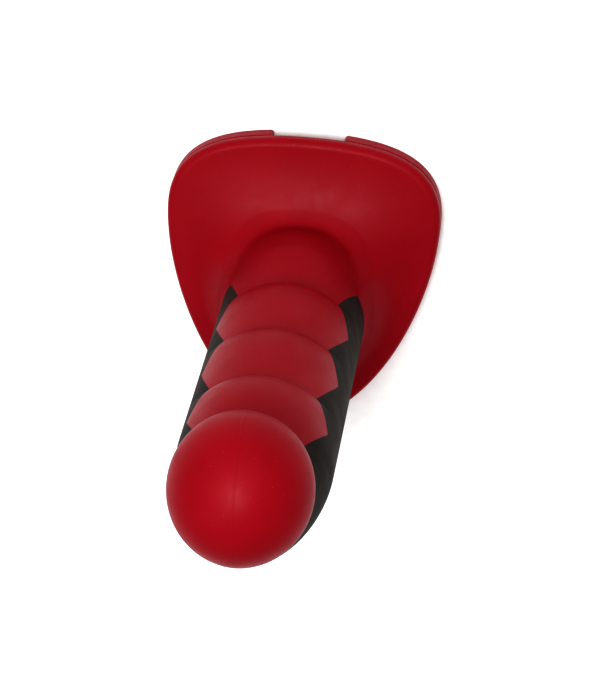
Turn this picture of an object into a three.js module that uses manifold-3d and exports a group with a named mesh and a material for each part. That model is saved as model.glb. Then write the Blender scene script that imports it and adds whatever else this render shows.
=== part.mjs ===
// A two-colour silicone massager: a ribbed shaft with a ball-shaped head, on a flared, shield-shaped base.
// Three steel weights slide in closed capsules, one capsule behind each ridge.
// Millimetres. +Z runs along the shaft to the head, and +Y points to the ridges and the notch of the base.
// The origin is on the shaft's axis, at the flat back face that the object stands on.

import * as THREE from 'three';
import { mergeVertices } from 'three/addons/utils/BufferGeometryUtils.js';
import { ParametricGeometry } from 'three/addons/geometries/ParametricGeometry.js';
import Module from 'manifold-3d';

const wasm = await Module();
wasm.setup();

// The space kept between two pieces that touch. The zigzag seam is cut at a slant, so that it takes
// a wider margin to keep the same space.
const GAP = 0.3;
const SEAM_MARGIN = 1.2 * GAP;

// Shaft, and the rounded end that carries on behind the head. Both the rounded end and the last valley
// of the ridges keep their distance from the top of the head.
const OVERALL_LENGTH = 182;
const SHAFT_RADIUS = 21;
const TAPER_START_Z = OVERALL_LENGTH - 55.5;
const TAPER_LENGTH = 54;
const TAPER_END_Y = 4.6;
const TAPER_FULLNESS = 1.7;

// Head, a ball set forward of the shaft's axis and drawn out a little towards its chin.
const HEAD_RADIUS = 18.8;
const HEAD_FORWARD = 9;
const CHIN_LENGTH = 2.2;
const CHIN_TURN = THREE.MathUtils.degToRad(23);
const CHIN_STRETCH = 1 + CHIN_LENGTH / (2 * HEAD_RADIUS);
const HEAD_TOP = HEAD_RADIUS * Math.hypot(Math.cos(CHIN_TURN), CHIN_STRETCH * Math.sin(CHIN_TURN));
const HEAD_Z = OVERALL_LENGTH - HEAD_TOP + CHIN_LENGTH / 2 * Math.sin(CHIN_TURN);

// Base: a soft flange on a flat rear pad of the same outline.
const BASE_HALF_WIDTH = 40.1;
const BASE_WIDEST_Y = 24.6;
const BASE_TOP_Y = 48.4;
const BASE_BOTTOM_Y = -40.4;
const TOP_HANDLE = 0.635;
const SHOULDER_HANDLE = 0.76;
const FLANK_HANDLE = 0.395;
const BOTTOM_HANDLE = 0.56;
const PAD_THICKNESS = 4.6;
const PAD_EDGE = 0.8;
const FLANGE_EDGE_RADIUS = 2.2;
const FLANGE_FOOT_RADIUS = 0.7;
const FLANGE_BACK_Z = PAD_THICKNESS + GAP;
const FLANGE_FACE_Z = FLANGE_BACK_Z + 2 * FLANGE_EDGE_RADIUS;

// Notch in the rear pad's top edge.
const NOTCH_HALF_WIDTH = 10.4;
const NOTCH_DEPTH = 9;
const NOTCH_MOUTH_RADIUS = 1;
const NOTCH_FLOOR_RADIUS = 3;

// Ridges on the front. Each one starts at a valley, and its crest is nearer to the valley below it.
// The neck has a ridge of its own below the first valley, and flares out towards the base.
const RIDGE_COUNT = 3;
const FIRST_VALLEY_Z = 48.2;
const LAST_VALLEY_Z = OVERALL_LENGTH - 35.55;
const RIDGE_PITCH = (LAST_VALLEY_Z - FIRST_VALLEY_Z) / RIDGE_COUNT;
const NECK_VALLEY_Z = FIRST_VALLEY_Z - RIDGE_PITCH;
const VALLEY_DEPTH = 2.8;
const CREST_RISE = 1.3;
const CREST_SHARE = 0.27;
const RIDGE_SPREAD = THREE.MathUtils.degToRad(64);
const RIDGE_FADE = 1.4;
const NECK_FLARE = 4.5;
const NECK_CREASE_TURN = THREE.MathUtils.degToRad(18);

// Black back. Its edge is a zigzag, with a notch at each valley and a tooth between. The last notch
// is a little below its valley.
const BACK_THICKNESS = 3;
const TOOTH_TIP_X = 18.7;
const TOOTH_NOTCH_X = 14.8;
const TOOTH_SHARE = 0.6;
const BACK_START_Z = FIRST_VALLEY_Z - TOOTH_SHARE * RIDGE_PITCH;
const BACK_END_Z = OVERALL_LENGTH - 25;
const LAST_NOTCH_Z = LAST_VALLEY_Z - 4;

// Weights and their capsules. A ball's travel is what the ridge pitch leaves beside the capsule's own
// size and the web of silicone between two capsules: 5 mm here.
const BALL_RADIUS = 10.5;
const BALL_CLEARANCE = 0.5;
const CAPSULE_WALL = 1.8;
const CAPSULE_LAP = 2;
const CAPSULE_WEB = 1.55;
const CAVITY_RADIUS = BALL_RADIUS + BALL_CLEARANCE;
const CAPSULE_RADIUS = CAVITY_RADIUS + CAPSULE_WALL;
const BORE_RADIUS = CAPSULE_RADIUS + GAP;
const BALL_TRAVEL = RIDGE_PITCH - 2 * BORE_RADIUS - CAPSULE_WEB;
const CUP_RADIUS = 10;

// Facets round the capsules and what fits them, and up each of their round ends.
const CAPSULE_SIDES = 24;
const DOME_STEPS = 5;

// Facets round the head and the weights, and from pole to pole.
const HEAD_SIDES = 32;
const HEAD_BANDS = 18;
const BALL_SIDES = 20;
const BALL_BANDS = 12;

// Where the rings of the body lie, as shares of the way along each part of it. Each list runs from its
// part's start, and rings lie closer together where the surface turns more.
const FOOT_RINGS = [0, 0.5, 1];
const EDGE_RINGS = [0, 0.33, 0.67, 1];
const SWEEP_RINGS = [0.12, 0.26, 0.4, 0.54, 0.68, 0.84, 1];
const NECK_RINGS = [0.04, 0.12, 0.27, 0.5, 0.77];
const RIDGE_RINGS = [0, 0.04, 0.12, 0.27, 0.5, 0.77];
const TAPER_RINGS = [0, 0.25, 0.5, 0.7, 0.85, 0.95, 1];
const CORE_TOP_SHARE = 0.86;
const CORE_TOP_RINGS = 7;

const RED_SILICONE = { color: 0xa00a1e, roughness: 0.5, metalness: 0 };
const BLACK_SILICONE = { color: 0x161514, roughness: 0.45, metalness: 0 };
const CORE_SILICONE = { color: 0x8c8a86, roughness: 0.6, metalness: 0 };
const CAPSULE_PLASTIC = { color: 0xe6e4de, roughness: 0.35, metalness: 0 };
const WEIGHT_STEEL = { color: 0xb8babd, roughness: 0.25, metalness: 1 };

const group = new THREE.Group();

// ---------------------------------------------------------------- solids

function toSolid(geometry) {
  const bare = geometry.clone();
  bare.deleteAttribute('normal');
  bare.deleteAttribute('uv');
  const welded = mergeVertices(bare, 1e-4);
  const corners = welded.index.array;
  const kept = [];
  for (let i = 0; i < corners.length; i += 3) {
    const [a, b, c] = corners.slice(i, i + 3);
    if (a !== b && b !== c && c !== a) {
      kept.push(a, b, c);
    }
  }
  const mesh = new wasm.Mesh({
    numProp: 3,
    vertProperties: new Float32Array(welded.attributes.position.array),
    triVerts: new Uint32Array(kept),
  });
  return new wasm.Manifold(mesh);
}

function addPiece(name, solid, finish) {
  const cut = solid.getMesh();
  const geometry = new THREE.BufferGeometry();
  geometry.setAttribute('position', new THREE.BufferAttribute(cut.vertProperties, 3));
  geometry.setIndex(new THREE.BufferAttribute(cut.triVerts, 1));
  geometry.computeVertexNormals();
  const piece = new THREE.Mesh(geometry, new THREE.MeshStandardMaterial(finish));
  piece.name = name;
  group.add(piece);
}

// A body turned about the Z axis. Its profile holds (radius, height) points, from bottom to top.
function turned(profile, segments) {
  const geometry = new THREE.LatheGeometry(profile, segments);
  geometry.rotateX(Math.PI / 2);
  return toSolid(geometry);
}

function arcPoints(centreZ, radius, fromAngle, toAngle, steps) {
  const points = [];
  for (let i = 0; i <= steps; i += 1) {
    const angle = THREE.MathUtils.lerp(fromAngle, toAngle, i / steps);
    points.push(new THREE.Vector2(radius * Math.cos(angle), centreZ + radius * Math.sin(angle)));
  }
  return points;
}

// The head, made larger by a margin all over.
function headBall(margin) {
  const geometry = new THREE.SphereGeometry(HEAD_RADIUS + margin, HEAD_SIDES, HEAD_BANDS);
  geometry.rotateX(Math.PI / 2);
  geometry.scale(1, CHIN_STRETCH, 1);
  geometry.translate(0, CHIN_LENGTH / 2, 0);
  geometry.rotateX(-CHIN_TURN);
  geometry.translate(0, HEAD_FORWARD, HEAD_Z);
  return toSolid(geometry);
}

// ---------------------------------------------------------------- base outline

// Half of the shield is two curves: top edge to widest point, then widest point to bottom.
// Their handles are shares of the half width and of the height between the curve's ends.
function shieldOutline() {
  const w = BASE_HALF_WIDTH;
  const topX = TOP_HANDLE * w;
  const bottomX = BOTTOM_HANDLE * w;
  const shoulderY = THREE.MathUtils.lerp(BASE_WIDEST_Y, BASE_TOP_Y, SHOULDER_HANDLE);
  const flankY = THREE.MathUtils.lerp(BASE_WIDEST_Y, BASE_BOTTOM_Y, FLANK_HANDLE);
  const shape = new THREE.Shape();
  shape.moveTo(0, BASE_TOP_Y);
  shape.bezierCurveTo(topX, BASE_TOP_Y, w, shoulderY, w, BASE_WIDEST_Y);
  shape.bezierCurveTo(w, flankY, bottomX, BASE_BOTTOM_Y, 0, BASE_BOTTOM_Y);
  shape.bezierCurveTo(-bottomX, BASE_BOTTOM_Y, -w, flankY, -w, BASE_WIDEST_Y);
  shape.bezierCurveTo(-w, shoulderY, -topX, BASE_TOP_Y, 0, BASE_TOP_Y);
  return shape;
}

// The columns of the body run up from the outline's own points, so each has a direction and a reach.
// They go round anticlockwise, which faces the lofted surface outwards.
const STEPS_PER_CURVE = 12;
const outlinePoints = shieldOutline().getPoints(STEPS_PER_CURVE);
outlinePoints.pop();
outlinePoints.reverse();
const COLUMNS = outlinePoints.map((point) => ({
  direction: point.clone().normalize(),
  reach: point.length(),
  fromFront: Math.acos(point.y / point.length()),
}));

// ---------------------------------------------------------------- shaft surface

// 1 in the middle of the front, falling to 0 where the ridges fade into the round shaft.
function frontShare(fromFront) {
  const turn = Math.min(fromFront / RIDGE_SPREAD, 1);
  return Math.max(Math.cos(turn * Math.PI / 2), 0) ** RIDGE_FADE;
}

// A ridge's height from 0 to 1, where u runs from its valley to the next one.
function ridgeHeight(u) {
  const lean = Math.log(0.5) / Math.log(CREST_SHARE);
  return Math.sin(Math.PI * u ** lean);
}

// How much of the shaft's radius is left at a height, and how far forward its centre has moved.
function taper(z) {
  const u = THREE.MathUtils.clamp((z - TAPER_START_Z) / TAPER_LENGTH, 0, 1);
  const left = (1 - u ** TAPER_FULLNESS) ** (1 / TAPER_FULLNESS);
  return { radius: SHAFT_RADIUS * left, forward: TAPER_END_Y * (1 - left) };
}

function shaftPoint(column, z) {
  const { radius, forward } = taper(z);
  if (z > HEAD_Z) {
    return { radius, z, forward };
  }
  const climb = (z - FIRST_VALLEY_Z) / RIDGE_PITCH;
  const height = ridgeHeight(climb - Math.floor(climb));
  const flare = NECK_FLARE * THREE.MathUtils.clamp(-climb, 0, 1);
  const ridge = CREST_RISE * height - VALLEY_DEPTH * (1 - height) + flare;
  return { radius: radius + ridge * frontShare(column.fromFront), z, forward };
}

// Where the flange's sweep ends: level in front, and rising to the black silicone at the sides.
function neckStartZ(column) {
  const turn = Math.min(column.fromFront / RIDGE_SPREAD, 1);
  return THREE.MathUtils.lerp(NECK_VALLEY_Z, BACK_START_Z, turn ** 3);
}

function neckPoint(column, t) {
  return shaftPoint(column, THREE.MathUtils.lerp(neckStartZ(column), FIRST_VALLEY_Z, t));
}

// The flange's edge is rounded a little at its back face, and more at its front.
function flangeFootPoint(column, t) {
  const angle = t * Math.PI / 2;
  return {
    radius: column.reach - FLANGE_FOOT_RADIUS * (1 - Math.sin(angle)),
    z: FLANGE_BACK_Z + FLANGE_FOOT_RADIUS * (1 - Math.cos(angle)),
    forward: 0,
  };
}

function flangeEdgePoint(column, t) {
  const angle = t * Math.PI / 2;
  return {
    radius: column.reach - FLANGE_EDGE_RADIUS * (1 - Math.cos(angle)),
    z: FLANGE_FACE_Z - FLANGE_EDGE_RADIUS * (1 - Math.sin(angle)),
    forward: 0,
  };
}

// The sweep meets the shaft upright at the sides and back, and in a crease in front.
function sweepPoint(column, t) {
  const end = neckPoint(column, 0);
  const outer = column.reach - FLANGE_EDGE_RADIUS;
  const lastAngle = Math.PI / 2 - NECK_CREASE_TURN * frontShare(column.fromFront);
  const angle = lastAngle * t;
  const drop = (Math.cos(angle) - Math.cos(lastAngle)) / (1 - Math.cos(lastAngle));
  return {
    radius: outer - (outer - end.radius) * Math.sin(angle) / Math.sin(lastAngle),
    z: end.z - (end.z - FLANGE_FACE_Z) * drop,
    forward: 0,
  };
}

// The rings of the body from the back of the flange to the end of the shaft.
function bodyRings() {
  const rings = [() => ({ radius: 0, z: FLANGE_BACK_Z, forward: 0 })];
  FOOT_RINGS.forEach((t) => rings.push((c) => flangeFootPoint(c, t)));
  EDGE_RINGS.forEach((t) => rings.push((c) => flangeEdgePoint(c, t)));
  SWEEP_RINGS.forEach((t) => rings.push((c) => sweepPoint(c, t)));
  NECK_RINGS.forEach((t) => rings.push((c) => neckPoint(c, t)));
  for (let ridge = 0; ridge < RIDGE_COUNT; ridge += 1) {
    RIDGE_RINGS.forEach((u) => {
      const z = FIRST_VALLEY_Z + (ridge + u) * RIDGE_PITCH;
      rings.push((c) => shaftPoint(c, z));
    });
  }
  const end = TAPER_START_Z + TAPER_LENGTH;
  TAPER_RINGS.forEach((t) => {
    const z = THREE.MathUtils.lerp(LAST_VALLEY_Z, end, t);
    rings.push((c) => shaftPoint(c, z));
  });
  return rings;
}

// The round part of the shaft alone, smaller by an inset.
function coreRings(inset) {
  const top = TAPER_START_Z + CORE_TOP_SHARE * TAPER_LENGTH;
  const ringAt = (z) => () => {
    const { radius, forward } = taper(z);
    return { radius: radius - inset, z, forward };
  };
  const start = (BACK_START_Z + FLANGE_FACE_Z) / 2;
  const heights = [start, TAPER_START_Z];
  for (let i = 1; i <= CORE_TOP_RINGS; i += 1) {
    heights.push(THREE.MathUtils.lerp(TAPER_START_Z, top, i / CORE_TOP_RINGS));
  }
  const cap = (z) => () => ({ radius: 0, z, forward: taper(z).forward });
  return [cap(start), ...heights.map(ringAt), cap(top)];
}

function lofted(rings) {
  const place = (u, v, target) => {
    const column = COLUMNS[Math.round(u * COLUMNS.length) % COLUMNS.length];
    const point = rings[Math.round(v * (rings.length - 1))](column);
    const { x, y } = column.direction;
    target.set(point.radius * x, point.forward + point.radius * y, point.z);
  };
  return toSolid(new ParametricGeometry(place, COLUMNS.length, rings.length - 1));
}

// ---------------------------------------------------------------- where red gives way to black

// A slab in front of the axis, whose two edges zigzag up the shaft. A margin widens and deepens it.
function frontSlab(margin) {
  const edge = [new THREE.Vector2(TOOTH_TIP_X, BACK_START_Z)];
  for (let ridge = 0; ridge <= RIDGE_COUNT; ridge += 1) {
    const valleyZ = FIRST_VALLEY_Z + ridge * RIDGE_PITCH;
    edge.push(new THREE.Vector2(TOOTH_NOTCH_X, Math.min(valleyZ, LAST_NOTCH_Z)));
    if (ridge < RIDGE_COUNT) {
      edge.push(new THREE.Vector2(TOOTH_TIP_X, valleyZ + (1 - TOOTH_SHARE) * RIDGE_PITCH));
    }
  }
  edge.unshift(new THREE.Vector2(TOOTH_TIP_X, 0));
  edge.push(new THREE.Vector2(TOOTH_NOTCH_X, OVERALL_LENGTH));
  const right = edge.map((point) => new THREE.Vector2(point.x + margin, point.y));
  const left = right.map((point) => new THREE.Vector2(-point.x, point.y)).reverse();
  const geometry = new THREE.ExtrudeGeometry(new THREE.Shape([...right, ...left]), {
    depth: BASE_TOP_Y + margin,
    bevelEnabled: false,
  });
  geometry.rotateX(Math.PI / 2);
  geometry.translate(0, BASE_TOP_Y, 0);
  return toSolid(geometry);
}

function slabBetween(fromZ, toZ) {
  const side = 2 * (BASE_TOP_Y - BASE_BOTTOM_Y);
  const geometry = new THREE.BoxGeometry(side, side, toZ - fromZ);
  geometry.translate(0, 0, (fromZ + toZ) / 2);
  return toSolid(geometry);
}

// ---------------------------------------------------------------- silicone pieces

function capsuleCentre(index) {
  return FIRST_VALLEY_Z + (index + 0.5) * RIDGE_PITCH;
}

function bore() {
  const domeZ = capsuleCentre(RIDGE_COUNT - 1) + BALL_TRAVEL / 2;
  const profile = [
    new THREE.Vector2(0, 0),
    new THREE.Vector2(BORE_RADIUS, 0),
    ...arcPoints(domeZ, BORE_RADIUS, 0, Math.PI / 2, DOME_STEPS),
  ];
  return turned(profile, CAPSULE_SIDES);
}

const body = lofted(bodyRings());

function redBody() {
  const redZone = slabBetween(0, BACK_START_Z)
    .add(frontSlab(0))
    .add(lofted(coreRings(BACK_THICKNESS + GAP)))
    .add(slabBetween(BACK_END_Z + GAP, OVERALL_LENGTH));
  return body.intersect(redZone).add(headBall(0)).subtract(bore());
}

function blackBack() {
  return body
    .intersect(slabBetween(BACK_START_Z + GAP, BACK_END_Z))
    .subtract(frontSlab(SEAM_MARGIN))
    .subtract(lofted(coreRings(BACK_THICKNESS)))
    .subtract(headBall(GAP));
}

function rearPad() {
  const plate = new THREE.ExtrudeGeometry(shieldOutline(), {
    depth: PAD_THICKNESS - 2 * PAD_EDGE,
    curveSegments: STEPS_PER_CURVE,
    bevelThickness: PAD_EDGE,
    bevelSize: PAD_EDGE,
    bevelOffset: -PAD_EDGE,
    bevelSegments: 2,
  });
  plate.translate(0, 0, PAD_EDGE);
  return toSolid(plate).subtract(notchCutter());
}

// The notch widens round its mouth's corners and has a rounded floor.
function notchCutter() {
  const mouth = NOTCH_MOUTH_RADIUS;
  const floor = NOTCH_FLOOR_RADIUS;
  const half = NOTCH_HALF_WIDTH;
  const floorY = BASE_TOP_Y - NOTCH_DEPTH;
  const shape = new THREE.Shape();
  shape.moveTo(half + mouth, BASE_TOP_Y + mouth);
  shape.absarc(half + mouth, BASE_TOP_Y - mouth, mouth, Math.PI / 2, Math.PI, false);
  shape.absarc(half - floor, floorY + floor, floor, 0, -Math.PI / 2, true);
  shape.absarc(floor - half, floorY + floor, floor, -Math.PI / 2, -Math.PI, true);
  shape.absarc(-half - mouth, BASE_TOP_Y - mouth, mouth, 0, Math.PI / 2, false);
  shape.lineTo(-half - mouth, BASE_TOP_Y + mouth);
  const cutter = new THREE.ExtrudeGeometry(shape, {
    depth: 3 * PAD_THICKNESS,
    curveSegments: 5,
    bevelEnabled: false,
  });
  cutter.translate(0, 0, -PAD_THICKNESS);
  return toSolid(cutter);
}

// Core pieces cup the round ends of the capsules, up to a radius where the cup stops.
const cupAngle = Math.acos(CUP_RADIUS / BORE_RADIUS);
const coreRadius = BORE_RADIUS - GAP;

function cupAbove(domeZ) {
  return arcPoints(domeZ, BORE_RADIUS, Math.PI / 2, cupAngle, DOME_STEPS);
}

function cupBelow(domeZ) {
  return arcPoints(domeZ, BORE_RADIUS, -cupAngle, -Math.PI / 2, DOME_STEPS);
}

function coreSpacer(index) {
  const lower = cupAbove(capsuleCentre(index) + BALL_TRAVEL / 2);
  const upper = cupBelow(capsuleCentre(index + 1) - BALL_TRAVEL / 2);
  const profile = [
    ...lower,
    new THREE.Vector2(coreRadius, lower.at(-1).y),
    new THREE.Vector2(coreRadius, upper[0].y),
    ...upper,
  ];
  return turned(profile, CAPSULE_SIDES);
}

function corePlug() {
  const cup = cupBelow(capsuleCentre(0) - BALL_TRAVEL / 2);
  const profile = [
    new THREE.Vector2(0, FLANGE_BACK_Z),
    new THREE.Vector2(coreRadius, FLANGE_BACK_Z),
    new THREE.Vector2(coreRadius, cup[0].y),
    ...cup,
  ];
  return turned(profile, CAPSULE_SIDES);
}

// ---------------------------------------------------------------- capsules and weights

// The two halves lap: the cup's inner lip stands up inside the cap's outer skirt.
function capsuleCup(centreZ) {
  const domeZ = centreZ - BALL_TRAVEL / 2;
  const lipRadius = CAVITY_RADIUS + (CAPSULE_WALL - GAP) / 2;
  const profile = [
    ...arcPoints(domeZ, CAPSULE_RADIUS, -Math.PI / 2, 0, DOME_STEPS),
    new THREE.Vector2(CAPSULE_RADIUS, centreZ - GAP / 2),
    new THREE.Vector2(lipRadius, centreZ - GAP / 2),
    new THREE.Vector2(lipRadius, centreZ + CAPSULE_LAP - GAP),
    new THREE.Vector2(CAVITY_RADIUS, centreZ + CAPSULE_LAP - GAP),
    ...arcPoints(domeZ, CAVITY_RADIUS, 0, -Math.PI / 2, DOME_STEPS),
  ];
  return turned(profile, CAPSULE_SIDES);
}

function capsuleCap(centreZ) {
  const domeZ = centreZ + BALL_TRAVEL / 2;
  const skirtRadius = CAPSULE_RADIUS - (CAPSULE_WALL - GAP) / 2;
  const profile = [
    ...arcPoints(domeZ, CAVITY_RADIUS, Math.PI / 2, 0, DOME_STEPS),
    new THREE.Vector2(CAVITY_RADIUS, centreZ + CAPSULE_LAP),
    new THREE.Vector2(skirtRadius, centreZ + CAPSULE_LAP),
    new THREE.Vector2(skirtRadius, centreZ + GAP / 2),
    new THREE.Vector2(CAPSULE_RADIUS, centreZ + GAP / 2),
    ...arcPoints(domeZ, CAPSULE_RADIUS, 0, Math.PI / 2, DOME_STEPS),
  ];
  return turned(profile, CAPSULE_SIDES);
}

function weightBall(centreZ) {
  const geometry = new THREE.SphereGeometry(BALL_RADIUS, BALL_SIDES, BALL_BANDS);
  geometry.rotateX(Math.PI / 2);
  geometry.translate(0, 0, centreZ - BALL_TRAVEL / 2);
  return toSolid(geometry);
}

addPiece('red_body', redBody(), RED_SILICONE);
addPiece('black_back', blackBack(), BLACK_SILICONE);
addPiece('rear_pad', rearPad(), RED_SILICONE);
addPiece('core_plug', corePlug(), CORE_SILICONE);
for (let index = 0; index < RIDGE_COUNT; index += 1) {
  const centreZ = capsuleCentre(index);
  const number = index + 1;
  addPiece(`capsule_cup_${number}`, capsuleCup(centreZ), CAPSULE_PLASTIC);
  addPiece(`capsule_cap_${number}`, capsuleCap(centreZ), CAPSULE_PLASTIC);
  addPiece(`weight_ball_${number}`, weightBall(centreZ), WEIGHT_STEEL);
  if (index < RIDGE_COUNT - 1) {
    addPiece(`core_spacer_${number}`, coreSpacer(index), CORE_SILICONE);
  }
}

export default group;
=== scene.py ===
"""A two-colour silicone massager that stands on its flared base: its looks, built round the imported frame.

Sizes are in millimetres and are turned to metres when a mesh is made. +Z runs along the shaft to the
head, and +Y points to the ridged front. The silicone skin is one grid of rows and columns. Columns run
from the bore inside, round the base, up the shaft and over the head. Cells of the sides and back are
the black silicone, and the other cells are the red.
"""

import math

import bmesh
import bpy
import numpy as np
from mathutils import Matrix, Vector


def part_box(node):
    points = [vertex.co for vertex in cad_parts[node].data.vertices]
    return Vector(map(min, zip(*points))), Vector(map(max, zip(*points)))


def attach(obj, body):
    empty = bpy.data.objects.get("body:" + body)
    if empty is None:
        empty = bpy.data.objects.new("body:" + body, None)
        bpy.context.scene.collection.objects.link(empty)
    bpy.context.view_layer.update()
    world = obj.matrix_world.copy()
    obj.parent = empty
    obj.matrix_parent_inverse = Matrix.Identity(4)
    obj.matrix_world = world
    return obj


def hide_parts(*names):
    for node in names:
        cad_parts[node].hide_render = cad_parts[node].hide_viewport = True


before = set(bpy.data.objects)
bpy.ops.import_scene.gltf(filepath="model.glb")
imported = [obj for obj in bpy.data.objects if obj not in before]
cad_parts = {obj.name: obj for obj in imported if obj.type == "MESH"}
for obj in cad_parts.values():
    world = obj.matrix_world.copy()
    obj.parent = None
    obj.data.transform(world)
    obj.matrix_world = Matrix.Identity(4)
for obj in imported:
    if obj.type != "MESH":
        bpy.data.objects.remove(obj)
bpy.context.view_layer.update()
MM = 0.001


def box_mm(node):
    low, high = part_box(node)
    return np.array(low) / MM, np.array(high) / MM


RED_LOW, RED_HIGH = box_mm("red_body")
BLACK_LOW, BLACK_HIGH = box_mm("black_back")
CAPSULE_LOW, CAPSULE_HIGH = box_mm("capsule_cap_3")

# Shaft, and the rounded end that carries on behind the head.
SHAFT_RADIUS = (BLACK_HIGH[0] - BLACK_LOW[0]) / 2
TAPER_START_Z = 126.5
TAPER_LENGTH = 54.0
TAPER_END_Y = 4.6
TAPER_FULLNESS = 1.7

# Head, a ball set forward of the shaft's axis and a little longer towards its chin. It runs softly
# into the shaft.
HEAD_RADIUS = 18.8
HEAD_FORWARD = 9.0
CHIN_LENGTH = 2.2
CHIN_TURN = math.radians(23)
CHIN_WAY = np.array([0.0, math.cos(CHIN_TURN), -math.sin(CHIN_TURN)])
CHIN_STRETCH = 1 + CHIN_LENGTH / (2 * HEAD_RADIUS)
HEAD_TOP = HEAD_RADIUS * math.hypot(math.cos(CHIN_TURN), CHIN_STRETCH * math.sin(CHIN_TURN))
HEAD_Z = RED_HIGH[2] - HEAD_TOP + CHIN_LENGTH / 2 * math.sin(CHIN_TURN)
HEAD_CENTRE = np.array([0.0, HEAD_FORWARD, HEAD_Z])
HEAD_BLEND = 1.5

# From this height up the shaft fades out of the skin, until the head alone is left.
HEAD_ONLY_Z = 173.0
HEAD_ONLY_FADE = 3.0

# Base outline, and the soft flange on top of the rear pad. Handles are shares of the way to the corner.
BASE_HALF_WIDTH = RED_HIGH[0]
BASE_WIDEST_Y = 24.6
BASE_TOP_Y = RED_HIGH[1]
BASE_BOTTOM_Y = RED_LOW[1]
TOP_HANDLE = 0.635
SHOULDER_HANDLE = 0.76
FLANK_HANDLE = 0.395
BOTTOM_HANDLE = 0.56
FLANGE_EDGE_RADIUS = 2.2
FLANGE_FOOT_RADIUS = 0.7
FLANGE_BACK_Z = RED_LOW[2]
FLANGE_FACE_Z = FLANGE_BACK_Z + 2 * FLANGE_EDGE_RADIUS

# Rear pad and its notch.
PAD_CLEARANCE = 0.02
PAD_THICKNESS = FLANGE_BACK_Z - PAD_CLEARANCE
PAD_EDGE_RADIUS = 0.5
PAD_EDGE_SEGMENTS = 5
NOTCH_HALF_WIDTH = 10.4
NOTCH_DEPTH = 9.0
NOTCH_MOUTH_RADIUS = 1.0
NOTCH_FLOOR_RADIUS = 3.0

# Ridges on the front, between valleys. The neck's own ridge is below the first valley.
RIDGE_PITCH = 32.75
RIDGE_COUNT = 3
FIRST_VALLEY_Z = 48.2
NECK_VALLEY_Z = FIRST_VALLEY_Z - RIDGE_PITCH
LAST_VALLEY_Z = FIRST_VALLEY_Z + RIDGE_COUNT * RIDGE_PITCH
VALLEY_DEPTH = 2.8
CREST_RISE = 1.3
VALLEY_SOFTNESS = 0.06
CREST_SHARE = 0.27
RIDGE_SPREAD = math.radians(64)
RIDGE_FADE = 1.4

# Edge of the black silicone: its notches and the tips of the red teeth, as turns from the front. Each
# turn comes from how far to the side the edge lies, as a share of the shaft's radius.
TOOTH_TIP_TURN = math.asin(0.89048)
TOOTH_NOTCH_TURN = math.asin(0.70476)
TOOTH_SHARE = 0.6
BLACK_START_Z = FIRST_VALLEY_Z - TOOTH_SHARE * RIDGE_PITCH
BLACK_CORNER_RADIUS = 2.0
BLACK_THICKNESS = 3.0
SEAM_GAP = 0.05
LAST_NOTCH_Z = LAST_VALLEY_Z - 4
LAST_NOTCH_CLEARANCE = 1.6
BLACK_END_Z = RED_HIGH[2] - 25
BLACK_END_CLEARANCE = 0.5

# Neck. In front it flares out and meets the base lower down, in a crease. The rows beside the crease
# are averaged this many times to soften it.
NECK_FLARE = 4.5
NECK_CREASE_TURN = math.radians(18)
NECK_SOFTENING = 60
NECK_SOFT_ROWS_BELOW = 18
NECK_SOFT_ROWS_ABOVE = 14

# Bore for the capsules.
BORE_GAP = 0.3
BORE_RADIUS = (CAPSULE_HIGH[0] - CAPSULE_LOW[0]) / 2 + BORE_GAP
BORE_TOP_Z = CAPSULE_HIGH[2] + BORE_GAP

# The grid of the skin: its columns, and its rows in each stretch from the bore to the head.
COLUMNS = 216
BORE_DOME_ROWS = 8
BORE_ROWS = 11
FLANGE_BACK_ROWS = 5
FLANGE_FOOT_ROWS = 6
FLANGE_EDGE_ROWS = 12
FLANGE_SWEEP_ROWS = 43
NECK_ROWS = 34
HALF_RIDGE_ROWS = 26
BESIDE_HEAD_ROWS = 20
BELOW_HEAD_ROWS = 14
HEAD_ROWS = 90

# Edges that turn by more than this stay sharp, such as the seam between red and black.
SHARP_ANGLE = math.radians(50)

# Studio: a long lens above the head, rolled until the base's notch is at the top, over white paper.
CAMERA_TARGET = (8.08, 17.71, 90.0)
CAMERA_SIDE = math.radians(9.96)
CAMERA_HEIGHT = math.radians(66.26)
CAMERA_DISTANCE = 886.3
CAMERA_ROLL = math.radians(-166.05)
CAMERA_LENS = 168.63
SENSOR_WIDTH = 36
FLOOR_HALF_WIDTH = 4000
DAYLIGHT = 0.4

# Each softbox: where it stands, what it points at, its width and height, and its power in watts.
SOFTBOXES = {
    "overhead_softbox": ((-190, 60, 790), (-160, 30, 0), (1300, 560), 1.4),
    "front_softbox": ((-140, 690, 760), (0, 10, 120), (1800, 730), 2.3),
    "head_softbox": ((-80, 271, 1228), (0, 9, 163), (320, 460), 5.6),
}


# ---------------------------------------------------------------- base outline


def curve_points(ends, handles, count):
    """Points along one cubic curve, without its last point."""
    a, d = (np.array(end, float) for end in ends)
    b, c = (np.array(handle, float) for handle in handles)
    t = np.linspace(0, 1, count, endpoint=False)[:, None]
    return (1 - t) ** 3 * a + 3 * (1 - t) ** 2 * t * b + 3 * (1 - t) * t**2 * c + t**3 * d


def shield_half(count):
    """The right half of the shield, from the middle of its top edge down to its bottom."""
    w = BASE_HALF_WIDTH
    shoulder_y = BASE_WIDEST_Y + SHOULDER_HANDLE * (BASE_TOP_Y - BASE_WIDEST_Y)
    flank_y = BASE_WIDEST_Y + FLANK_HANDLE * (BASE_BOTTOM_Y - BASE_WIDEST_Y)
    top, widest, bottom = (0, BASE_TOP_Y), (w, BASE_WIDEST_Y), (0, BASE_BOTTOM_Y)
    upper = curve_points((top, widest), ((TOP_HANDLE * w, BASE_TOP_Y), (w, shoulder_y)), count)
    lower = curve_points((widest, bottom), ((w, flank_y), (BOTTOM_HANDLE * w, BASE_BOTTOM_Y)), count)
    return np.vstack([upper, lower, [bottom]])


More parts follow.
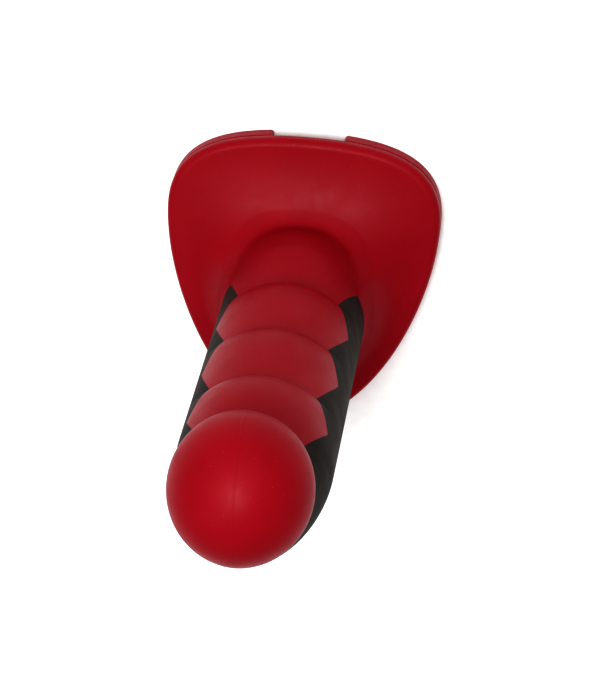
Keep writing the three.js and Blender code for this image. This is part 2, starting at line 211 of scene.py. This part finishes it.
def base_reach(turn):
    """How far the base reaches from the axis, for turns from the front."""
    half = shield_half(400)
    turns = np.arctan2(half[:, 0], half[:, 1])
    return np.interp(np.abs(turn), turns, np.hypot(half[:, 0], half[:, 1]))


# ---------------------------------------------------------------- skin surface


def front_share(turn):
    """1 in the middle of the front, falling to 0 where the ridges fade into the round shaft."""
    return np.cos(np.minimum(np.abs(turn) / RIDGE_SPREAD, 1) * math.pi / 2) ** RIDGE_FADE


def ridge_height(u):
    """A ridge's height from 0 to 1 between two valleys. Its crest is nearer to the lower valley."""
    lean = math.log(0.5) / math.log(CREST_SHARE)
    arch = np.sin(math.pi * np.clip(u, 0, 1) ** lean)
    return np.sqrt(arch**2 + VALLEY_SOFTNESS**2) - VALLEY_SOFTNESS


def shaft_reach(turn, z):
    """How far the ridged shaft reaches from the axis at a height."""
    u = np.clip((z - TAPER_START_Z) / TAPER_LENGTH, 0, 1)
    left = (1 - u**TAPER_FULLNESS) ** (1 / TAPER_FULLNESS)
    radius, forward = SHAFT_RADIUS * left, TAPER_END_Y * (1 - left)
    across = np.maximum(radius**2 - (forward * np.sin(turn)) ** 2, 0)
    climb = (z - FIRST_VALLEY_Z) / RIDGE_PITCH
    height = ridge_height(climb % 1)
    ridge = CREST_RISE * height - VALLEY_DEPTH * (1 - height) + NECK_FLARE * np.clip(-climb, 0, 1)
    return forward * np.cos(turn) + np.sqrt(across) + ridge * front_share(turn)


def meets_head_z(turn):
    """The height at which the shaft runs into the head, for each turn from the front.

    The search climbs in steps of 0.5 mm until the shaft is inside the head, and then halves the step.
    """
    start_z = LAST_VALLEY_Z - 12
    low, high = np.full_like(turn, start_z), np.full_like(turn, start_z)
    for z in np.arange(start_z, TAPER_START_Z + TAPER_LENGTH, 0.5):
        outside = head_distance(turn, shaft_reach(turn, z), z) > 0
        searching = high == low
        low = np.where(outside & searching, z, low)
        high = np.where(searching, np.where(outside, z, z + 1e-9), high)
    for _ in range(30):
        middle = (low + high) / 2
        outside = head_distance(turn, shaft_reach(turn, middle), middle) > 0
        low = np.where(outside, middle, low)
        high = np.where(outside, high, middle)
    return low


def head_distance(turn, reach, z):
    """Distance from the head's surface, which is below zero inside it."""
    off = np.stack(np.broadcast_arrays(reach * np.sin(turn), reach * np.cos(turn), z), -1) - HEAD_CENTRE
    along = off @ CHIN_WAY
    squeezed = (along + HEAD_RADIUS) / CHIN_STRETCH - HEAD_RADIUS
    across = (off**2).sum(-1) - along**2
    return np.sqrt(across + squeezed**2) - HEAD_RADIUS


def skin_distance(points):
    """Distance from the head and shaft joined softly. It is only exact close to the skin."""
    x, y, z = points[..., 0], points[..., 1], points[..., 2]
    turn, reach = np.arctan2(x, y), np.hypot(x, y)
    head = head_distance(turn, reach, z)
    shaft = reach - shaft_reach(turn, z)
    near = np.clip(0.5 + 0.5 * (shaft - head) / HEAD_BLEND, 0, 1)
    joined = shaft * (1 - near) + head * near - HEAD_BLEND * near * (1 - near)
    head_only = np.clip((z - HEAD_ONLY_Z) / HEAD_ONLY_FADE, 0, 1)
    return joined * (1 - head_only) + head * head_only


def settle_on_skin(points):
    """Moves points along the slope of the distance until they lie on the softly joined skin."""
    step = 1e-3
    for _ in range(6):
        off = skin_distance(points)
        slope = np.stack([(skin_distance(points + step * axis) - off) / step for axis in np.eye(3)], -1)
        size = np.maximum((slope**2).sum(-1), 0.2)
        points = points - (off / size)[..., None] * slope
    return points


# ---------------------------------------------------------------- rows of the skin


def row_turns(edge_turn):
    """The turn of each column. Half of a side's columns lie in front of the edge, and half behind."""
    share = np.linspace(-1, 1, COLUMNS, endpoint=False)
    size = np.abs(share)
    front = size / 0.5 * edge_turn
    back = edge_turn + (size - 0.5) / 0.5 * (math.pi - edge_turn)
    return np.sign(share) * np.where(size < 0.5, front, back)


def ring(turn, reach, z):
    """One row of points, at a reach from the axis and a height for each turn."""
    reach, z = (np.broadcast_to(value, turn.shape) for value in (reach, z))
    return np.stack([reach * np.sin(turn), reach * np.cos(turn), z], -1)


def neck_end_z(turn):
    """Where the base runs into the neck: level in front, and rising to the black silicone."""
    return NECK_VALLEY_Z + (BLACK_START_Z - NECK_VALLEY_Z) * np.minimum(np.abs(turn) / RIDGE_SPREAD, 1) ** 3


def black_start_z(turn):
    """The lower edge of the black silicone rises round its corners."""
    along = np.clip((np.abs(turn) - TOOTH_TIP_TURN) * SHAFT_RADIUS / BLACK_CORNER_RADIUS, 0, 1)
    rise = BLACK_CORNER_RADIUS * (1 - np.sqrt(1 - (1 - along) ** 2))
    return neck_end_z(turn) + np.where(np.abs(turn) >= TOOTH_TIP_TURN, rise, BLACK_CORNER_RADIUS)


def bore_rows(turn):
    """From the top of the bore's dome down its wall to the back of the flange."""
    rows = []
    dome_z = BORE_TOP_Z - BORE_RADIUS
    for angle in np.linspace(math.pi / 2, 0, BORE_DOME_ROWS + 1)[1:]:
        rows.append(ring(turn, BORE_RADIUS * math.cos(angle), dome_z + BORE_RADIUS * math.sin(angle)))
    for z in np.linspace(dome_z, FLANGE_BACK_Z, BORE_ROWS + 1)[1:]:
        rows.append(ring(turn, BORE_RADIUS, z))
    return rows


def flange_rows(turn):
    """Across the flange's back, round its edge, and over its face in one sweep up the neck."""
    rows = []
    reach = base_reach(turn)
    inner = reach - FLANGE_EDGE_RADIUS
    for t in np.linspace(0, 1, FLANGE_BACK_ROWS + 2)[1:-1]:
        rows.append(ring(turn, BORE_RADIUS + (inner - BORE_RADIUS) * t, FLANGE_BACK_Z))
    for angle in np.linspace(0, math.pi / 2, FLANGE_FOOT_ROWS):
        back_in = FLANGE_FOOT_RADIUS * (1 - math.sin(angle))
        z = FLANGE_BACK_Z + FLANGE_FOOT_RADIUS * (1 - math.cos(angle))
        rows.append(ring(turn, reach - back_in, z))
    for angle in np.linspace(0, math.pi / 2, FLANGE_EDGE_ROWS):
        out = FLANGE_EDGE_RADIUS * math.cos(angle)
        z = FLANGE_FACE_Z - FLANGE_EDGE_RADIUS * (1 - math.sin(angle))
        rows.append(ring(turn, inner + out, z))
    end_z = neck_end_z(turn)
    end_reach = shaft_reach(turn, end_z)
    last_angle = math.pi / 2 - NECK_CREASE_TURN * front_share(turn)
    for t in np.linspace(0, 1, FLANGE_SWEEP_ROWS + 1)[1:]:
        angle = last_angle * t
        sweep = inner - (inner - end_reach) * np.sin(angle) / np.sin(last_angle)
        drop = (np.cos(angle) - np.cos(last_angle)) / (1 - np.cos(last_angle))
        rows.append(ring(turn, sweep, end_z - (end_z - FLANGE_FACE_Z) * drop))
    start_z = black_start_z(turn)
    for t in (0.25, 0.5, 0.75):
        z = end_z + (start_z - end_z) * t
        rows.append(ring(turn, shaft_reach(turn, z), z))
    return rows


def neck_rows():
    """The edge of the black silicone leans from the first tooth's tip to the first notch."""
    rows = []
    for t in np.linspace(0, 1, NECK_ROWS, endpoint=False):
        turn = row_turns(TOOTH_TIP_TURN + (TOOTH_NOTCH_TURN - TOOTH_TIP_TURN) * t)
        start_z = black_start_z(turn)
        z = start_z + (FIRST_VALLEY_Z - start_z) * t
        rows.append(ring(turn, shaft_reach(turn, z), z))
    return rows


def ridge_rows():
    """Up the three ridges, with the edge in a zigzag. The last valley stops short of the head.

    The edge leans out from a notch to a tip, in rows that are closer in the valley, and back in.
    """
    rows = []
    even = np.linspace(0, 1, HALF_RIDGE_ROWS, endpoint=False)
    out = [((1 - TOOTH_SHARE) * t**1.6, t**1.6) for t in even]
    back = [(1 - TOOTH_SHARE * (1 - t), 1 - t) for t in even]
    for ridge in range(RIDGE_COUNT):
        valley_z = FIRST_VALLEY_Z + ridge * RIDGE_PITCH
        for climb, lean in out + back:
            turn = row_turns(TOOTH_NOTCH_TURN + (TOOTH_TIP_TURN - TOOTH_NOTCH_TURN) * lean)
            top_z = valley_z + RIDGE_PITCH
            if ridge == RIDGE_COUNT - 1:
                top_z = last_row_z(turn)
            z = valley_z + (top_z - valley_z) * climb
            rows.append(ring(turn, shaft_reach(turn, z), z))
    return rows


def last_row_z(turn):
    """The last valley's height, or just below the head where that is lower."""
    return np.minimum(LAST_NOTCH_Z, meets_head_z(turn) - LAST_NOTCH_CLEARANCE)


def black_end_z(turn):
    """The black silicone ends level behind the head, and just short of the head at the sides."""
    return np.minimum(BLACK_END_Z, meets_head_z(turn) - BLACK_END_CLEARANCE)


def rows_between(turn, from_z, to_z, count):
    """Evenly spaced rows up the shaft, without the last."""
    rows = []
    for t in np.linspace(0, 1, count, endpoint=False):
        z = from_z + (to_z - from_z) * t
        rows.append(ring(turn, shaft_reach(turn, z), z))
    return rows


def head_rows(turn):
    """Over the head to a point on the axis, along the arc that each column cuts from the ball.

    The rows are closer where they leave the shaft, and the last stops just short of the point.
    """
    rows = []
    centre_reach = HEAD_CENTRE[1] * np.cos(turn)
    arc_radius = np.sqrt(HEAD_RADIUS**2 - (HEAD_CENTRE[1] * np.sin(turn)) ** 2)
    start_z = meets_head_z(turn)
    start = np.arctan2(start_z - HEAD_CENTRE[2], shaft_reach(turn, start_z) - centre_reach)
    end = np.arctan2(math.sqrt(HEAD_RADIUS**2 - HEAD_CENTRE[1] ** 2), -centre_reach)
    for t in np.linspace(0, 0.995, HEAD_ROWS):
        angle = start + (end - start) * t**1.35
        reach = centre_reach + arc_radius * np.cos(angle)
        rows.append(ring(turn, reach, HEAD_CENTRE[2] + arc_radius * np.sin(angle)))
    return rows


def softened(rows, first, last, passes):
    """Rounds the crease between two rows by averaging each row with the two beside it."""
    for _ in range(passes):
        below, above = rows[first - 1 : last - 1], rows[first + 1 : last + 1]
        rows[first:last] = (below + 2 * rows[first:last] + above) / 4
    return rows


def skin_rows():
    """All rows of the skin, and the first and last row of the black silicone."""
    at_tip, at_notch = row_turns(TOOTH_TIP_TURN), row_turns(TOOTH_NOTCH_TURN)
    rows = bore_rows(at_tip) + flange_rows(at_tip)
    black_first = len(rows)
    rows += neck_rows() + ridge_rows()
    head_first = len(rows)
    rows += rows_between(at_notch, last_row_z(at_notch), black_end_z(at_notch), BESIDE_HEAD_ROWS)
    black_last = len(rows)
    rows += rows_between(at_notch, black_end_z(at_notch), meets_head_z(at_notch), BELOW_HEAD_ROWS)
    rows += head_rows(at_notch)
    rows = np.array(rows)
    soft_first, soft_last = black_first - NECK_SOFT_ROWS_BELOW, black_first + NECK_SOFT_ROWS_ABOVE
    rows = softened(rows, soft_first, soft_last, NECK_SOFTENING)
    rows[head_first:] = settle_on_skin(rows[head_first:])
    return rows, black_first, black_last


# ---------------------------------------------------------------- meshes


def new_object(name, points, faces):
    """A mesh object in the scene, from points in millimetres."""
    mesh = bpy.data.meshes.new(name)
    mesh.from_pydata([tuple(point) for point in np.asarray(points) * MM], [], faces)
    mesh.validate()
    built = bpy.data.objects.new(name, mesh)
    bpy.context.scene.collection.objects.link(built)
    return built


def finish_mesh(built):
    """Merges doubles, drops loose points and shades the mesh smooth except at sharp edges."""
    sculpt = bmesh.new()
    sculpt.from_mesh(built.data)
    bmesh.ops.remove_doubles(sculpt, verts=sculpt.verts, dist=1e-7)
    loose = [vert for vert in sculpt.verts if not vert.link_faces]
    bmesh.ops.delete(sculpt, geom=loose, context="VERTS")
    sculpt.to_mesh(built.data)
    sculpt.free()
    built.data.shade_smooth()
    built.data.set_sharp_from_angle(angle=SHARP_ANGLE)


def cell(row, column):
    """The corners of one cell of the skin, wound to face out."""
    after = (column + 1) % COLUMNS
    return [(row, column), (row + 1, column), (row + 1, after), (row, after)]


def is_black(row, column, black_first, black_last):
    """Whether a cell lies behind the edge, in the rows that have black silicone."""
    share = abs(-1 + 2 * (column + 0.5) / COLUMNS)
    return black_first <= row < black_last and share > 0.5


def skin_faces(row_count, black_first, black_last):
    """All cells of the skin, sorted into red and black."""
    red, black = [], []
    for row in range(row_count - 1):
        for column in range(COLUMNS):
            side = black if is_black(row, column, black_first, black_last) else red
            side.append(cell(row, column))
    return red, black


def edge_loop(faces):
    """The directed edges that only one of the faces has."""
    seen = {}
    for corners in faces:
        for a, b in zip(corners, corners[1:] + corners[:1]):
            seen[(a, b)] = True
    return [edge for edge in seen if (edge[1], edge[0]) not in seen]


def recessed(rows, depth):
    """The skin moved inwards, square to itself."""
    along = np.roll(rows, -1, axis=1) - np.roll(rows, 1, axis=1)
    up = np.gradient(rows, axis=0)
    out = np.cross(up, along)
    size = np.maximum(np.linalg.norm(out, axis=-1, keepdims=True), 1e-9)
    return rows - out / size * depth


def layered(rows, depth):
    """The points of the skin, and after them those of the skin moved inwards."""
    return np.vstack([rows.reshape(-1, 3), recessed(rows, depth).reshape(-1, 3)])


def numbered(face, layer, count):
    """The point numbers of a face, in the skin as layer 0 or in the layer inside it as layer 1."""
    return [layer * count + row * COLUMNS + column for row, column in face]


def side_wall(edge, count):
    """The face that runs inwards from one edge of the black silicone."""
    a, b = edge
    return numbered([b, a], 0, count) + numbered([a, b], 1, count)


def make_skin():
    """The red skin, with a pocket for the black silicone, and the black silicone in it."""
    rows, black_first, black_last = skin_rows()
    red_faces, black_faces = skin_faces(len(rows), black_first, black_last)
    rim = edge_loop(black_faces)
    count = rows.shape[0] * COLUMNS

    red = [numbered(face, 0, count) for face in red_faces]
    red += [numbered(face, 1, count) for face in black_faces]
    red += [side_wall(edge, count)[::-1] for edge in rim]
    bore_pole, head_pole = [0, 0, BORE_TOP_Z], rows[-1].mean(axis=0)
    points = np.vstack([layered(rows, BLACK_THICKNESS), [bore_pole, head_pole]])
    last = (len(rows) - 1) * COLUMNS
    for column in range(COLUMNS):
        after = (column + 1) % COLUMNS
        red.append([2 * count, column, after])
        red.append([last + column, 2 * count + 1, last + after])
    red_skin = new_object("red_silicone_body", points, red)

    black = [numbered(face, 0, count) for face in black_faces]
    black += [numbered(face, 1, count)[::-1] for face in black_faces]
    black += [side_wall(edge, count) for edge in rim]
    black_skin = new_object("black_silicone_back", layered(rows, BLACK_THICKNESS - SEAM_GAP), black)
    for skin in (red_skin, black_skin):
        finish_mesh(skin)
    return red_skin, black_skin


def arc(centre, radius, from_angle, to_angle, count):
    """Points on an arc, with its angles in degrees from +X."""
    angles = np.radians(np.linspace(from_angle, to_angle, count))
    return [(centre[0] + radius * math.cos(a), centre[1] + radius * math.sin(a)) for a in angles]


def pad_outline():
    """The shield with its notch, clockwise from the notch's floor when seen from the head."""
    half = shield_half(60)
    mouth_x = NOTCH_HALF_WIDTH + NOTCH_MOUTH_RADIUS
    mouth_y = np.interp(mouth_x, half[:60, 0], half[:60, 1])
    floor_y = BASE_TOP_Y - NOTCH_DEPTH
    floor_centre = (NOTCH_HALF_WIDTH - NOTCH_FLOOR_RADIUS, floor_y + NOTCH_FLOOR_RADIUS)
    mouth_centre = (mouth_x, mouth_y - NOTCH_MOUTH_RADIUS)
    right = arc(floor_centre, NOTCH_FLOOR_RADIUS, -90, 0, 10)
    right += arc(mouth_centre, NOTCH_MOUTH_RADIUS, 180, 90, 8)
    right += [tuple(point) for point in half if point[0] > mouth_x + 0.6 or point[1] < 0]
    left = [(-x, y) for x, y in reversed(right[:-1])]
    return right + left


def make_pad():
    """The rear pad as a plate, with its edges rounded by a bevel."""
    outline = pad_outline()
    count = len(outline)
    points = [(x, y, z) for z in (0, PAD_THICKNESS) for x, y in outline]
    after = [(corner + 1) % count for corner in range(count)]
    sides = [[corner, count + corner, count + after[corner], after[corner]] for corner in range(count)]
    back, front = list(range(count)), list(range(count, 2 * count))
    pad = new_object("rear_pad_layer", points, [back, front[::-1]] + sides)
    finish_mesh(pad)
    bevel = pad.modifiers.new("edge_rounding", "BEVEL")
    bevel.width = PAD_EDGE_RADIUS * MM
    bevel.segments = PAD_EDGE_SEGMENTS
    bevel.limit_method = "ANGLE"
    bevel.angle_limit = SHARP_ANGLE
    bevel.harden_normals = True
    return pad


# ---------------------------------------------------------------- finishes


def linear(hex_colour):
    """An sRGB hex colour as linear red, green, blue and alpha."""
    parts = [int(hex_colour[i : i + 2], 16) / 255 for i in (0, 2, 4)]
    return [c / 12.92 if c <= 0.04045 else ((c + 0.055) / 1.055) ** 2.4 for c in parts] + [1.0]


def add(tree, kind, inputs=None, **settings):
    """Adds a node with its settings. An input that is another node's output is linked, others are set."""
    node = tree.nodes.new(kind)
    for name, value in settings.items():
        setattr(node, name, value)
    for name, value in (inputs or {}).items():
        if isinstance(value, bpy.types.NodeSocket):
            tree.links.new(value, node.inputs[name])
        else:
            node.inputs[name].default_value = value
    return node


def new_finish(name):
    """An empty material, with its node tree and the place of each point on the object."""
    finish = bpy.data.materials.new(name)
    finish.use_nodes = True
    tree = finish.node_tree
    tree.nodes.clear()
    return finish, tree, add(tree, "ShaderNodeTexCoord").outputs["Object"]


def shade(tree, inputs):
    """The shader, with its settings and links, on the material's output."""
    shader = add(tree, "ShaderNodeBsdfPrincipled", inputs)
    add(tree, "ShaderNodeOutputMaterial", {"Surface": shader.outputs["BSDF"]})


def lumps(tree, place, size_mm, detail, low, high, harshness=0.5):
    """Soft lumps about size_mm across, as values that run from low to high."""
    noise = {"Vector": place, "Scale": 1 / (size_mm * MM), "Detail": detail, "Roughness": harshness}
    cloud = add(tree, "ShaderNodeTexNoise", noise).outputs["Fac"]
    spread = {"Value": cloud, "From Min": 0.3, "From Max": 0.7, "To Min": low, "To Max": high}
    return add(tree, "ShaderNodeMapRange", spread).outputs["Result"]


def mottled(tree, place, size_mm, detail, first, second, harshness=0.5):
    """A colour that drifts between two others, in soft lumps about size_mm across."""
    share = lumps(tree, place, size_mm, detail, 0, 1, harshness)
    tones = {"Factor": share, 6: linear(first), 7: linear(second)}
    return add(tree, "ShaderNodeMix", tones, data_type="RGBA").outputs[2]


def lint(tree, place, spacing_mm, size_mm, kept, strength):
    """Scattered lint: strength on a speck and 0 elsewhere. kept is the share of cells that hold one."""
    cells = add(tree, "ShaderNodeTexVoronoi", {"Vector": place, "Scale": 1 / (spacing_mm * MM)})
    radius = size_mm / 2 / spacing_mm
    edge = {"Value": cells.outputs["Distance"], "From Min": radius * 0.4, "From Max": radius}
    speck = add(tree, "ShaderNodeMapRange", {**edge, "To Min": strength, "To Max": 0}).outputs["Result"]
    chance = add(tree, "ShaderNodeSeparateColor", {"Color": cells.outputs["Color"]}).outputs["Red"]
    chosen = add(tree, "ShaderNodeMath", {0: chance, 1: kept}, operation="LESS_THAN").outputs[0]
    return add(tree, "ShaderNodeMath", {0: speck, 1: chosen}, operation="MULTIPLY").outputs[0]


def satin_grain(tree, place):
    """The mould's satin grain. It is about 0.03 mm, drawn at 0.25 mm so that it shows."""
    grain = add(tree, "ShaderNodeTexNoise", {"Vector": place, "Scale": 1 / (0.25 * MM), "Detail": 2})
    raised = {"Height": grain.outputs["Fac"], "Distance": 0.004 * MM, "Strength": 0.5}
    return add(tree, "ShaderNodeBump", raised).outputs["Normal"]


def parting_line(tree, place, skin):
    """The thin line that the two halves of the mould leave over the head, 0.05 mm high."""
    spot = add(tree, "ShaderNodeSeparateXYZ", {"Vector": place})
    beside = add(tree, "ShaderNodeMath", {0: spot.outputs["X"]}, operation="ABSOLUTE").outputs[0]
    narrow = {"Value": beside, "From Min": 0, "From Max": 0.45 * MM, "To Min": 1, "To Max": 0}
    line = add(tree, "ShaderNodeMapRange", narrow).outputs["Result"]
    upper = {"Value": spot.outputs["Z"], "From Min": 148 * MM, "From Max": 156 * MM}
    on_head = add(tree, "ShaderNodeMapRange", upper).outputs["Result"]
    height = add(tree, "ShaderNodeMath", {0: line, 1: on_head}, operation="MULTIPLY").outputs[0]
    raised = {"Height": height, "Distance": 0.05 * MM, "Normal": skin}
    return add(tree, "ShaderNodeBump", raised).outputs["Normal"]


def dusty_colour(tree, place, deep, light, dust):
    """Silicone's even colour, with pale lint of 0.26 mm on its tacky skin."""
    colour = mottled(tree, place, 14, 2, deep, light)
    dusted = {"Factor": lint(tree, place, 1.3, 0.26, 0.25, 0.22), 6: colour, 7: linear(dust)}
    return add(tree, "ShaderNodeMix", dusted, data_type="RGBA").outputs[2]


def red_silicone():
    """Platinum-cured silicone from a satin mould: deep raspberry red all through, with a milky gloss."""
    finish, tree, place = new_finish("red_moulded_silicone")
    looks = {
        "Base Color": dusty_colour(tree, place, "8A1022", "8E1224", "D8A8A0"),
        "Roughness": lumps(tree, place, 6, 3, 0.38, 0.47),
        "Normal": parting_line(tree, place, satin_grain(tree, place)),
        "IOR": 1.41,
        "Specular IOR Level": 0.2,
        "Subsurface Weight": 0.08,
        "Subsurface Radius": (1.0, 0.12, 0.08),
        "Subsurface Scale": 1.5 * MM,
    }
    shade(tree, looks)
    return finish


def black_silicone():
    """The same silicone with carbon black in it: dull, and a warm grey where light grazes it."""
    finish, tree, place = new_finish("black_moulded_silicone")
    looks = {
        "Base Color": dusty_colour(tree, place, "332E2C", "393431", "8C8680"),
        "Roughness": lumps(tree, place, 6, 3, 0.52, 0.61),
        "Normal": satin_grain(tree, place),
        "IOR": 1.41,
        "Specular IOR Level": 0.08,
    }
    shade(tree, looks)
    return finish


def core_silicone():
    """Unpigmented silicone, cast: cloudy and dull, never seen in use."""
    finish, tree, place = new_finish("natural_cast_silicone")
    looks = {
        "Base Color": mottled(tree, place, 5, 3, "A9A69E", "BDBAB2"),
        "Roughness": lumps(tree, place, 1.5, 2, 0.55, 0.68),
        "IOR": 1.41,
        "Subsurface Weight": 0.3,
        "Subsurface Scale": 2 * MM,
    }
    shade(tree, looks)
    return finish


def capsule_plastic():
    """Natural polypropylene, moulded: waxy off-white with faint flow marks."""
    finish, tree, place = new_finish("natural_moulded_polypropylene")
    looks = {
        "Base Color": mottled(tree, place, 9, 4, "DCDAD2", "ECEAE4"),
        "Roughness": lumps(tree, place, 2, 3, 0.3, 0.4),
        "IOR": 1.49,
        "Subsurface Weight": 0.2,
        "Subsurface Scale": 1 * MM,
    }
    shade(tree, looks)
    return finish


def weight_steel():
    """Ground bearing steel: bright, with a cloudy wear from rolling in its capsule."""
    finish, tree, place = new_finish("ground_bearing_steel")
    looks = {
        "Base Color": mottled(tree, place, 3, 5, "B9BBBE", "CFD1D4", harshness=0.7),
        "Roughness": lumps(tree, place, 0.6, 4, 0.14, 0.26),
        "Metallic": 1.0,
    }
    shade(tree, looks)
    return finish


def studio_paper():
    """Matt white studio paper, with a faint drift from its pulp."""
    finish, tree, place = new_finish("white_studio_paper")
    colour = mottled(tree, place, 3, 3, "F2F2F1", "F7F7F6")
    shade(tree, {"Base Color": colour, "Roughness": 0.9, "Specular IOR Level": 0.2})
    return finish


def put_on(piece, finish):
    piece.data.materials.clear()
    piece.data.materials.append(finish)


# ---------------------------------------------------------------- studio


def make_floor():
    half = FLOOR_HALF_WIDTH
    corners = [(-half, -half, 0), (half, -half, 0), (half, half, 0), (-half, half, 0)]
    floor = new_object("studio_floor", corners, [[0, 1, 2, 3]])
    put_on(floor, studio_paper())


def make_camera():
    level = math.cos(CAMERA_HEIGHT)
    away = Vector((level * math.sin(CAMERA_SIDE), level * math.cos(CAMERA_SIDE), math.sin(CAMERA_HEIGHT)))
    turned = away.to_track_quat("Z", "Y").to_matrix().to_4x4() @ Matrix.Rotation(CAMERA_ROLL, 4, "Z")
    camera = bpy.data.objects.new("camera", bpy.data.cameras.new("camera"))
    camera.data.lens, camera.data.sensor_width = CAMERA_LENS, SENSOR_WIDTH
    camera.data.clip_start, camera.data.clip_end = 0.05, 20
    place = (Vector(CAMERA_TARGET) + away * CAMERA_DISTANCE) * MM
    camera.matrix_world = Matrix.Translation(place) @ turned
    bpy.context.scene.collection.objects.link(camera)
    bpy.context.scene.camera = camera


def hang_softbox(name, place_mm, aim_mm, size_mm, power):
    light = bpy.data.objects.new(name, bpy.data.lights.new(name, "AREA"))
    light.data.shape = "RECTANGLE"
    light.data.size, light.data.size_y = size_mm[0] * MM, size_mm[1] * MM
    light.data.energy = power
    place, aim = Vector(place_mm) * MM, Vector(aim_mm) * MM
    light.location = place
    light.rotation_mode = "QUATERNION"
    light.rotation_quaternion = (place - aim).to_track_quat("Z", "Y")
    bpy.context.scene.collection.objects.link(light)


def make_lights():
    """Soft daylight from all round, and the softboxes. The look keeps the reds and blacks deep."""
    world = bpy.data.worlds.new("studio")
    world.use_nodes = True
    background = world.node_tree.nodes["Background"]
    background.inputs["Color"].default_value = linear("FFFFFF")
    background.inputs["Strength"].default_value = DAYLIGHT
    bpy.context.scene.world = world
    for name, (place_mm, aim_mm, size_mm, power) in SOFTBOXES.items():
        hang_softbox(name, place_mm, aim_mm, size_mm, power)
    bpy.context.scene.view_settings.view_transform = "Standard"
    bpy.context.scene.view_settings.look = "Very High Contrast"


# ---------------------------------------------------------------- the object


def dress_inner_pieces():
    """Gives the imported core, capsules and balls their finish."""
    finishes = {"core": core_silicone(), "capsule": capsule_plastic(), "weight": weight_steel()}
    for name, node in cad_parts.items():
        family = name.split("_")[0]
        if family in finishes:
            put_on(node, finishes[family])


def make_object():
    red, black = make_skin()
    pad = make_pad()
    red_finish, black_finish = red_silicone(), black_silicone()
    pieces = [
        (red, "red_body", "red_silicone", red_finish),
        (black, "black_back", "black_silicone", black_finish),
        (pad, "rear_pad", "red_silicone", red_finish),
    ]
    for piece, node, slot, finish in pieces:
        put_on(piece, finish)
        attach(piece, "body")
        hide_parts(node)
    dress_inner_pieces()


make_object()
make_floor()
make_camera()
make_lights()
